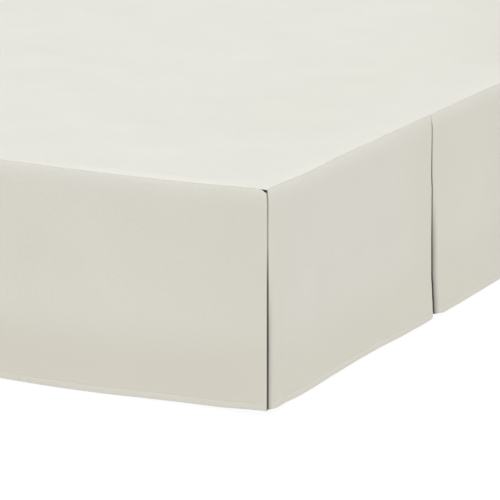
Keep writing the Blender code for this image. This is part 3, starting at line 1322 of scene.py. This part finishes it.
@dataclass
class Deck:
    """The cloth that lies on the box spring and carries the drops."""

    swells: Sequence[Crease]
    creases: Sequence[Crease]
    # Broad darker, warmer patches of painted shade on the deck.
    shade_patches: Sequence[Crease]
    sags: dict[BedSide, Sequence[Wave]]
    cut: SkirtCut = field(default_factory=SkirtCut)
    pitch: float = 0.011
    sag_width: float = 0.019
    edge_steps: int = 7
    level_half_width: float = 0.10
    easing_width: float = 0.05
    rumple: float = 0.0006
    rumples_per_metre: float = 7.0
    rumple_seed: float = 3.1
    deepest: float = -0.0002
    stitch_sunk: float = 0.0002
    hem_height: float = 0.012
    hem_rows: tuple[float, ...] = (1.08, 1.0, 0.9, 0.5, 0.1, 0.0)
    hem_behind: float = 1.4

    @property
    def sewn_in(self) -> float:
        """Return how far in from a drop's face the deck's sewn edge starts to curl."""
        return self.cut.seam_in + self.cut.seam_gap * self.cut.seam_size

    def edge_sag(self, x: float, y: float) -> float:
        """Work out how far the deck's edge sags at a place near it.

        Args:
            x: The place across the bed.
            y: The place along it.

        Returns:
            The sag.
        """
        cut = self.cut
        from_foot = y + cut.length / 2
        inside = {
            BedSide.FOOT: (x + cut.width / 2, from_foot),
            BedSide.RIGHT: (from_foot, cut.width / 2 - x),
            BedSide.LEFT: (from_foot, x + cut.width / 2),
        }
        total = 0.0
        for side, (along, distance_in) in inside.items():
            near = bump(max(distance_in - cut.seam_in, 0), self.sag_width)
            total += near * sum(sag.at(along) for sag in self.sags[side])
        return total

    def edge_fall(self, distance_in: float) -> float:
        """Return how far the deck has dropped this far in from a drop's face."""
        cut = self.cut
        past = max(cut.deck_round - distance_in, 0) / (cut.deck_round - cut.seam_in)
        return cut.deck_fall * past**2

    def height_at(self, x: float, y: float) -> float:
        """Work out the height of the middle of the cloth at a place in plan.

        Args:
            x: The place across the bed.
            y: The place along it.

        Returns:
            The height.
        """
        cut = self.cut
        falls = (self.edge_fall(cut.width / 2 - abs(x)), self.edge_fall(cut.length / 2 + y))
        fall = (falls[0] ** 4 + falls[1] ** 4) ** 0.25
        swell = sum(s.height_at(x, y) for s in self.swells)
        swell *= 1 - bump(max(math.hypot(x, y) - self.level_half_width, 0), self.level_half_width)
        fine = sum(c.height_at(x, y) for c in self.creases)
        rumples = self.rumples_per_metre
        where = Vector((x * rumples, y * rumples, self.rumple_seed))
        fine += self.rumple * (0.5 + noise.noise(where))
        edge_in = min(cut.width / 2 - abs(x), cut.length / 2 + y) - cut.seam_in
        easing = min(max(edge_in / self.easing_width, 0), 1)
        level = cut.deck_top - cut.solid_cloth / 2 - fall - self.edge_sag(x, y)
        return level + swell + max(fine, self.deepest) * easing

    def lines(self, low: float, high: float, low_turned: float, high_turned: float) -> list[float]:
        """Return grid places across the deck, closer together over a rounded edge.

        Args:
            low: The lowest place.
            high: The highest place.
            low_turned: How wide the lower edge's round is, 0 where it is plain.
            high_turned: How wide the higher edge's round is.

        Returns:
            The places in order.
        """
        first = low + low_turned
        last = high - high_turned
        steps = round((last - first) / self.pitch)
        found = [first + (last - first) * step / steps for step in range(steps + 1)]
        shares = [step / self.edge_steps for step in range(self.edge_steps)]
        if low_turned:
            found = [low + low_turned * share for share in shares] + found
        if high_turned:
            found += [high - high_turned * share for share in reversed(shares)]
        return found

    def curled(self, out: Vector, turn: tuple[float, float], offset: float) -> Vector:
        """Return how far a sewn edge's curl moves a point of the deck's edge.

        Args:
            out: The direction out of that side of the bed.
            turn: The angle of the curl, and how far it then runs in.
            offset: The point's distance above the middle of the cloth.

        Returns:
            The move, on over the round edge and then in.
        """
        slope = self.cut.deck_slope
        normal = out * math.sin(slope) + Vector((0, 0, math.cos(slope)))
        onward = out * math.cos(slope) - Vector((0, 0, math.sin(slope)))
        return self.cut.curled(normal, onward, turn, offset)

    def build(self, finish: bpy.types.Material) -> bpy.types.Object:
        """Make the deck's cloth, which stands for its solid.

        Args:
            finish: The cloth's material.

        Returns:
            The piece.
        """
        cut = self.cut
        half = cut.cloth / 2
        side, foot = cut.width / 2 - self.sewn_in, -cut.length / 2 + self.sewn_in
        head = cut.length / 2 - cut.head_inset
        turned = cut.deck_round - self.sewn_in
        xs = self.lines(-side, side, turned, turned)
        curls = cut.seam_turns()
        across = [(xs[0], turn, -1) for turn in curls] + [(x, None, 0) for x in xs]
        across += [(xs[-1], turn, 1) for turn in reversed(curls)]
        ys = self.lines(foot, head, turned, 0.0)
        hem = [head - self.hem_height * share for share in self.hem_rows]
        ys = [y for y in ys if y < hem[0] - self.pitch / 3] + hem
        down = [(foot, turn) for turn in curls] + [(y, None) for y in ys]
        sheet = Sheet()
        for y, foot_turn in down:
            behind = half * (self.hem_behind if y >= hem[1] else 1.0)
            sunk = self.stitch_sunk if y == hem[1] else 0.0
            outer, inner, places = [], [], []
            for x, side_turn, sign in across:
                height = self.height_at(x, y) - sunk
                for grid, offset in ((outer, half), (inner, -behind)):
                    point = Vector((x, y, height + offset))
                    if side_turn:
                        point += self.curled(Vector((sign, 0, 0)), side_turn, offset)
                    if foot_turn:
                        point += self.curled(Vector((0, -1, 0)), foot_turn, offset)
                    grid.append(point)
                places.append((x, y, 0.0))
                # The patches' painted shade.
                sheet.warm_shade_values.append(sum(shade_patch.height_at(x, y) for shade_patch in self.shade_patches))
            sheet.add_row(outer, inner, places)
        piece = sheet.build("deck_cloth", finish)
        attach(piece, ROOT)
        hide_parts("deck")
        return piece

    def sew_head(self, stitching: Stitching, finish: bpy.types.Material) -> bpy.types.Object:
        """Sew the hem of the deck's head edge.

        Args:
            stitching: The stitches to sew.
            finish: The thread's material.

        Returns:
            The piece.
        """
        y = self.cut.length / 2 - self.cut.head_inset - self.hem_height
        side = self.cut.width / 2 - self.cut.deck_round
        count = int(2 * side / stitching.pitch)
        lift = self.cut.cloth / 2 - 0.00005
        xs = [-side + stitching.pitch * step for step in range(count + 1)]
        run = [Vector((x, y, self.height_at(x, y) + lift)) for x in xs]
        return stitching.build([run], [Vector((0, 0, 1))], finish)

    def flat_size(self) -> tuple[float, float]:
        """Return the deck's size as cut, with its seams and its hem."""
        return self.cut.width, self.cut.length + self.hem_height


# Pieces shaped in edit mode


def deselect_all() -> None:
    """Deselect every object, and leave edit mode."""
    if bpy.context.object and bpy.context.object.mode != "OBJECT":
        bpy.ops.object.mode_set(mode="OBJECT")
    bpy.ops.object.select_all(action="DESELECT")


def block(name: str, low: Vector, high: Vector) -> bpy.types.Object:
    """Add a block between two corners, its place and size in its mesh.

    Args:
        name: The new piece's name.
        low: Its lowest corner.
        high: Its highest corner.

    Returns:
        The block, selected and active, at the origin.
    """
    deselect_all()
    bpy.ops.mesh.primitive_cube_add(size=1, location=(low + high) / 2)
    made = bpy.context.object
    made.scale = high - low
    bpy.ops.object.transform_apply(location=True, rotation=True, scale=True)
    made.name = name
    made.data.name = name
    return made


def clear_selection(kind: str) -> None:
    """Select nothing of the active object, with its edges or faces to choose from.

    Args:
        kind: EDGE or FACE.
    """
    bpy.ops.object.mode_set(mode="EDIT")
    bpy.ops.mesh.select_mode(type=kind)
    bpy.ops.mesh.select_all(action="DESELECT")
    bpy.ops.object.mode_set(mode="OBJECT")


def select_edges(piece: bpy.types.Object, wanted: Callable[[Vector, Vector], bool]) -> None:
    """Select the active object's edges whose two ends pass a test, in edit mode.

    Args:
        piece: The active object.
        wanted: Takes an edge's two ends.
    """
    clear_selection("EDGE")
    points = piece.data.vertices
    for edge in piece.data.edges:
        edge.select = wanted(*(points[i].co for i in edge.vertices))
    bpy.ops.object.mode_set(mode="EDIT")


def select_faces(piece: bpy.types.Object, wanted: Callable[[Vector, Vector], bool]) -> None:
    """Select the active object's faces whose middle and normal pass a test, in edit mode.

    Args:
        piece: The active object.
        wanted: Takes a face's middle and its normal.
    """
    clear_selection("FACE")
    for face in piece.data.polygons:
        face.select = wanted(face.center, face.normal)
    bpy.ops.object.mode_set(mode="EDIT")


def smooth_by_angle(piece: bpy.types.Object, degrees: float = 35) -> None:
    """Shade a piece smooth but for its sharp edges."""
    deselect_all()
    piece.select_set(True)
    bpy.context.view_layer.objects.active = piece
    bpy.ops.object.shade_smooth_by_angle(angle=math.radians(degrees))


@dataclass
class BoxSpring:
    """The covered box spring: a firm border, a flat top, piping and a dust cover."""

    low: Vector
    high: Vector
    border_inset: float = 0.0014
    corner: float = 0.029
    corner_segments: int = 8
    edge: float = 0.006
    edge_segments: int = 4
    crown: float = 0.0008
    piping: float = 0.0026
    piping_down: float = 0.0052
    piping_out: float = 0.55
    cover_gap: float = 0.0003
    cover_margin: float = 0.022
    cover_sink: float = 0.0015
    belly_rows: tuple[float, ...] = (0.25, 0.5, 0.75)

    def build_body(self, cover: bpy.types.Material, dust: bpy.types.Material) -> bpy.types.Object:
        """Make the covered body, which stands for the box spring's solid.

        Args:
            cover: The ticking.
            dust: The dust cover's finish.

        Returns:
            The piece.
        """
        inset = Vector((self.border_inset, self.border_inset, 0))
        lift = Vector((0, 0, self.cover_gap))
        piece = block("box_spring_cover", self.low + inset + lift, self.high - inset - lift)
        tall = (self.high.z - self.low.z) / 2
        select_edges(piece, lambda a, b: abs(a.z - b.z) > tall)
        bpy.ops.mesh.bevel(offset=self.corner, segments=self.corner_segments, affect="EDGES")
        select_edges(piece, lambda a, b: abs(a.z - b.z) < tall)
        bpy.ops.mesh.bevel(offset=self.edge, segments=self.edge_segments, affect="EDGES")
        centre = (self.low + self.high) / 2
        for share in self.belly_rows:
            bpy.ops.mesh.select_all(action="SELECT")
            height = self.low.z + (self.high.z - self.low.z) * share
            bpy.ops.mesh.bisect(plane_co=(centre.x, centre.y, height), plane_no=(0, 0, 1))
        bpy.ops.object.mode_set(mode="OBJECT")
        for point in piece.data.vertices:
            belly = 1 - abs(point.co.z - centre.z) / tall
            grow = 1 + self.crown * max(belly, 0) / (self.high.x - centre.x)
            point.co.x = centre.x + (point.co.x - centre.x) * grow
            point.co.y = centre.y + (point.co.y - centre.y) * grow
        select_faces(piece, lambda middle, normal: normal.z < -0.99)
        bpy.ops.mesh.inset(thickness=self.cover_margin, depth=-self.cover_sink)
        bpy.ops.object.mode_set(mode="OBJECT")
        piece.data.materials.append(cover)
        piece.data.materials.append(dust)
        for face in piece.data.polygons:
            face.material_index = int(face.select)
        smooth_by_angle(piece)
        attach(piece, ROOT)
        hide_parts("box_spring")
        return piece

    def build_piping(self, name: str, height: float, finish: bpy.types.Material) -> bpy.types.Object:
        """Make one run of piping round the border.

        Args:
            name: The piece's name.
            height: The height of its middle.
            finish: The piping's cloth.

        Returns:
            The piece.
        """
        line = bpy.data.curves.new(name, "CURVE")
        line.dimensions = "3D"
        line.bevel_depth = self.piping
        line.bevel_resolution = 3
        path = line.splines.new("POLY")
        path.use_cyclic_u = True
        points = self.round_path(self.border_inset + self.piping * self.piping_out, height)
        path.points.add(len(points) - 1)
        for target, point in zip(path.points, points):
            target.co = (*point, 1.0)
        made = bpy.data.objects.new(name, line)
        bpy.context.scene.collection.objects.link(made)
        deselect_all()
        made.select_set(True)
        bpy.context.view_layer.objects.active = made
        bpy.ops.object.convert(target="MESH")
        piece = bpy.context.object
        turn_outward(piece.data)
        piece.data.materials.clear()
        piece.data.materials.append(finish)
        piece.data.shade_smooth()
        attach(piece, ROOT)
        return piece

    def round_path(self, inset: float, height: float) -> list[Vector]:
        """Return a loop round the box spring with rounded corners.

        Args:
            inset: How far inside the solid's faces the loop runs.
            height: Its height.

        Returns:
            The loop's points in order.
        """
        centre = (self.low + self.high) / 2
        reach_x = self.high.x - centre.x - inset - self.corner
        reach_y = self.high.y - centre.y - inset - self.corner
        points = []
        for turn, (right, back) in enumerate(((1, 1), (-1, 1), (-1, -1), (1, -1))):
            for step in range(self.corner_segments + 1):
                angle = math.pi / 2 * (turn + step / self.corner_segments)
                x = centre.x + right * reach_x + self.corner * math.cos(angle)
                y = centre.y + back * reach_y + self.corner * math.sin(angle)
                points.append(Vector((x, y, height)))
        return points

    def build(self, cover: bpy.types.Material, dust: bpy.types.Material) -> list[bpy.types.Object]:
        """Make the body and its two runs of piping.

        Args:
            cover: The ticking.
            dust: The dust cover's finish.

        Returns:
            The three pieces.
        """
        top = self.high.z - self.piping_down
        bottom = self.low.z + self.piping_down
        return [
            self.build_body(cover, dust),
            self.build_piping("box_spring_piping_top", top, cover),
            self.build_piping("box_spring_piping_bottom", bottom, cover),
        ]


@dataclass
class BedFrame:
    """The steel frame's rails and legs, with a glide pushed on under each leg."""

    nodes: dict[str, bpy.types.Object]
    glide_wall: float = 0.0022
    glide_height: float = 0.014
    glide_socket: float = 0.010
    glide_rim: float = 0.9
    glide_round: float = 0.0008
    glide_sides: int = 32

    def dress(self, finish: bpy.types.Material) -> list[str]:
        """Give the rails and legs their finish.

        Args:
            finish: The powder coat.

        Returns:
            Their names.
        """
        names = [n for n in self.nodes if n.startswith(("side_rail", "cross_rail", "leg"))]
        for name in names:
            mesh = self.nodes[name].data
            mesh.materials.clear()
            mesh.materials.append(finish)
        return names

    def build_glide(self, leg: str, finish: bpy.types.Material) -> bpy.types.Object:
        """Make the glide of one leg: a turned cup with a rounded foot.

        Args:
            leg: The leg's node.
            finish: The plastic.

        Returns:
            The piece.
        """
        low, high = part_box(leg)
        centre = (low + high) / 2
        radius = (high.x - low.x) / 2 + self.glide_wall
        deselect_all()
        place = (centre.x, centre.y, self.glide_height / 2)
        bpy.ops.mesh.primitive_cylinder_add(
            vertices=self.glide_sides, radius=radius, depth=self.glide_height, location=place
        )
        piece = bpy.context.object
        piece.name = leg.replace("leg", "glide")
        piece.data.name = piece.name
        bpy.ops.object.transform_apply(location=True, rotation=True, scale=True)
        select_faces(piece, lambda middle, normal: normal.z > 0.99)
        bpy.ops.mesh.inset(thickness=self.glide_wall * self.glide_rim)
        down = (0, 0, -self.glide_socket)
        bpy.ops.mesh.extrude_region_move(TRANSFORM_OT_translate={"value": down})
        rim = self.glide_height
        select_edges(piece, lambda a, b: min(a.z, b.z) > rim - 1e-5 or max(a.z, b.z) < 1e-5)
        bpy.ops.mesh.bevel(offset=self.glide_round, segments=3, affect="EDGES")
        bpy.ops.object.mode_set(mode="OBJECT")
        piece.data.materials.append(finish)
        smooth_by_angle(piece)
        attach(piece, ROOT)
        return piece

    def build(self, coat: bpy.types.Material, plastic: bpy.types.Material) -> list[str]:
        """Dress the steel and add the glides, and return all their names."""
        names = self.dress(coat)
        glides = [self.build_glide(n, plastic) for n in names if n.startswith("leg")]
        return names + [glide.name for glide in glides]


# The studio


@dataclass
class Studio:
    """The pale floor, the soft light and the camera at the photograph's angle."""

    cut: SkirtCut = field(default_factory=SkirtCut)
    azimuth: float = 26.45
    elevation: float = 14.0
    frame_pixels: float = 500.0
    focal_pixels: float = 3694.0
    sensor: float = 36.0
    corner_distance: float = 5.714
    corner_pixel: tuple[float, float] = (268.0, 414.0)
    floor_width: float = 120.0
    sky: float = 0.264
    key: float = 2.92
    key_tint: Colour = (0.952, 1.0, 1.066)
    key_width: float = 70.0
    key_way: Point = (-0.215, 0.235, -1.0)

    def build_floor(self, finish: bpy.types.Material) -> None:
        """Lay the floor.

        Args:
            finish: Its material.
        """
        deselect_all()
        bpy.ops.mesh.primitive_plane_add(size=self.floor_width)
        floor = bpy.context.object
        floor.name = "floor"
        floor.data.materials.append(finish)

    def build_sky(self) -> None:
        """Surround the bed with even white light."""
        world = bpy.data.worlds.new("studio")
        world.use_nodes = True
        backdrop = world.node_tree.nodes["Background"]
        backdrop.inputs["Color"].default_value = (1, 1, 1, 1)
        backdrop.inputs["Strength"].default_value = self.sky
        bpy.context.scene.world = world

    def build_lamp(self) -> None:
        """Light the bed with one soft lamp from above, a little to the camera's side."""
        lamp = bpy.data.lights.new("key", "SUN")
        lamp.energy = self.key
        lamp.color = self.key_tint
        lamp.angle = math.radians(self.key_width)
        made = bpy.data.objects.new("key", lamp)
        made.rotation_euler = Vector(self.key_way).to_track_quat("-Z", "Y").to_euler()
        bpy.context.scene.collection.objects.link(made)

    def build_camera(self) -> None:
        """Place the camera so that the bed's foot corner falls where the photograph has it."""
        turn, tilt = math.radians(self.azimuth), math.radians(self.elevation)
        right = Vector((math.cos(turn), math.sin(turn), 0))
        flat = Vector((-math.sin(turn), math.cos(turn), 0))
        ahead = flat * math.cos(tilt) - Vector((0, 0, math.sin(tilt)))
        up = flat * math.sin(tilt) + Vector((0, 0, math.cos(tilt)))
        corner = Vector((self.cut.width / 2, -self.cut.length / 2, self.cut.hem_clearance))
        middle = self.frame_pixels / 2
        scale = self.corner_distance / self.focal_pixels
        across = (self.corner_pixel[0] - middle) * scale
        below = (self.corner_pixel[1] - middle) * scale
        place = corner - right * across + up * below - ahead * self.corner_distance
        data = bpy.data.cameras.new("camera")
        data.sensor_width = self.sensor
        data.lens = self.focal_pixels / self.frame_pixels * self.sensor
        data.clip_start = 0.05
        data.clip_end = 500.0
        camera = bpy.data.objects.new("camera", data)
        turned = Matrix((right, up, -ahead)).transposed().to_4x4()
        camera.matrix_world = Matrix.Translation(place) @ turned
        bpy.context.scene.collection.objects.link(camera)
        bpy.context.scene.camera = camera

    def build(self, floor: bpy.types.Material) -> None:
        """Set up the floor, the light, the camera and plain colour.

        Args:
            floor: The floor's material.
        """
        self.build_floor(floor)
        self.build_sky()
        self.build_lamp()
        self.build_camera()
        bpy.context.scene.view_settings.view_transform = "Standard"


# The bed skirt's own folds


SIDE_PLEATS = (
    Pleat(0.635, CRISP_BEFORE, SOFT_AFTER),
    Pleat(1.270, CRISP_BEFORE, SOFT_AFTER),
)
FOOT_PLEATS = (Pleat(0.686, CRISP_BEFORE, SOFT_AFTER),)


RIGHT_SWAY = Sway(0.635, 0.16, (
    Lean(0.006, 0.0030), Lean(0.030, 0.0000), Lean(0.055, -0.0035), Lean(0.085, -0.0075),
    Lean(0.160, -0.0092), Lean(0.230, -0.0098), Lean(0.262, -0.0125), Lean(0.310, -0.0122),
    Lean(0.362, -0.0125),
))
EDGE_SAGS = {
    BedSide.RIGHT: (Wave(0.135, 0.13, 0.0024), Wave(0.98, 0.22, 0.0016)),
    BedSide.LEFT: (Wave(0.34, 0.20, 0.0020), Wave(1.44, 0.18, 0.0014)),
    BedSide.FOOT: (Wave(1.05, 0.17, 0.0024), Wave(1.21, 0.18, 0.0028), Wave(0.33, 0.2, 0.0018)),
}


def make_drops() -> list[Drop]:
    """Shape the three drops with their bows, creases and hem dips.

    Returns:
        The drops on the right, on the left and at the foot.
    """
    right = Drop(
        side=BedSide.RIGHT, start=SIDE_CORNER, pleats=SIDE_PLEATS, end=None,
        bows=(Wave(0.36, 0.24, 0.0050), Wave(0.97, 0.26, 0.0030), Wave(1.58, 0.25, 0.0042)),
        creases=(
            Crease(0.047, 0.02, 0.036, 0.22, 0.018, 0.0018),
            Crease(0.028, 0.02, 0.022, 0.20, 0.013, -0.0014),
            Crease(0.50, 0.04, 0.44, 0.30, 0.090, 0.0014),
        ),
        # Patches of painted shade low on the drop, by its corner and first pleat and on the far
        # panel.
        shade_patches=(
            Crease(0.0, 0.05, 0.0, 0.28, 0.15, 0.40), Crease(0.62, 0.05, 0.62, 0.30, 0.20, 0.65),
            Crease(1.05, 0.10, 1.05, 0.30, 0.45, 0.60),
        ),
        hem_dips=(Wave(0.05, 0.07, -0.0022),), sags=EDGE_SAGS[BedSide.RIGHT],
        sways=(RIGHT_SWAY,), seed=1.7,
    )
    left = Drop(
        side=BedSide.LEFT, start=SIDE_CORNER, pleats=SIDE_PLEATS, end=None,
        bows=(Wave(0.29, 0.22, 0.0036), Wave(0.93, 0.24, 0.0046), Wave(1.62, 0.24, 0.0030)),
        creases=(
            Crease(0.26, 0.03, 0.24, 0.20, 0.030, 0.0012),
            Crease(1.02, 0.02, 1.00, 0.16, 0.035, -0.0012),
        ),
        # Patches of painted shade low on the drop.
        shade_patches=(Crease(0.66, 0.05, 0.66, 0.30, 0.20, 0.50), Crease(1.5, 0.1, 1.5, 0.3, 0.4, 0.40)),
        hem_dips=(), sags=EDGE_SAGS[BedSide.LEFT], sways=(), seed=5.3,
    )
    foot = Drop(
        side=BedSide.FOOT, start=FOOT_CORNER, pleats=FOOT_PLEATS, end=FOOT_CORNER,
        bows=(Wave(0.24, 0.17, 0.0032), Wave(1.02, 0.20, -0.0030)),
        creases=(Crease(0.80, 0.108, 1.30, 0.100, 0.080, 0.0016),),
        # Patches of painted shade low at both ends of the foot.
        shade_patches=(Crease(0.02, 0.05, 0.0, 0.30, 0.16, 0.4), Crease(1.37, 0.05, 1.35, 0.30, 0.16, 0.4)),
        hem_dips=(Wave(1.02, 0.30, 0.0042),), sags=EDGE_SAGS[BedSide.FOOT],
        sways=(), seed=9.1,
    )
    return [right, left, foot]


def make_deck() -> Deck:
    """Shape the deck with its swells and creases.

    Returns:
        The deck.
    """
    return Deck(
        swells=(
            Crease(-0.62, 0.06, -0.20, 0.24, 0.13, 0.0018),
            Crease(-0.60, -0.34, -0.16, -0.20, 0.12, 0.0014),
            Crease(0.30, 0.66, 0.58, 0.44, 0.14, 0.0016),
        ),
        creases=(
            Crease(-0.271, -0.119, -0.04, -0.215, 0.05, 0.0019),
            Crease(-0.108, -0.40, 0.244, -0.645, 0.06, 0.0017),
        ),
        # Broad patches of painted shade toward the right side and the head.
        shade_patches=(
            Crease(0.45, -0.45, 0.52, 0.30, 0.34, 0.28), Crease(0.66, 0.24, 0.36, 0.78, 0.24, 0.85),
        ),
        sags=EDGE_SAGS,
    )


def main() -> None:
    """Build the bed skirt's looks, piece by piece."""
    logging.basicConfig(level=logging.INFO, format="%(message)s")
    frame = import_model()
    Studio().build(FloorFinish().material())
    cloth = MicrofibreFinish().material()
    thread = SEWING_THREAD.material()
    deck = make_deck()
    deck_piece = deck.build(cloth)
    head_hem = deck.sew_head(Stitching("deck_head_stitching"), thread)
    flat = deck.flat_size()
    LOG.info("deck: %d faces", len(deck_piece.data.polygons))
    for drop in make_drops():
        piece = drop.build(cloth)
        hem = Stitching(f"{drop.side.value}_hem_stitching").along_hem(drop, thread)
        drop.flat_size()
        LOG.info("%s: %d faces, hem %d", piece.name, len(piece.data.polygons), len(hem.data.polygons))
    low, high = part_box("box_spring")
    pieces = BoxSpring(low, high).build(TickingFinish().material(), DustCoverFinish().material())
    LOG.info("box spring: %s", ", ".join(piece.name for piece in pieces))
    names = BedFrame(frame["nodes"]).build(PowderCoatFinish().material(), GLIDE_PLASTIC.material())
    LOG.info("frame: %s", ", ".join(names))
    bpy.context.view_layer.update()


if __name__ == "__main__":
    main()
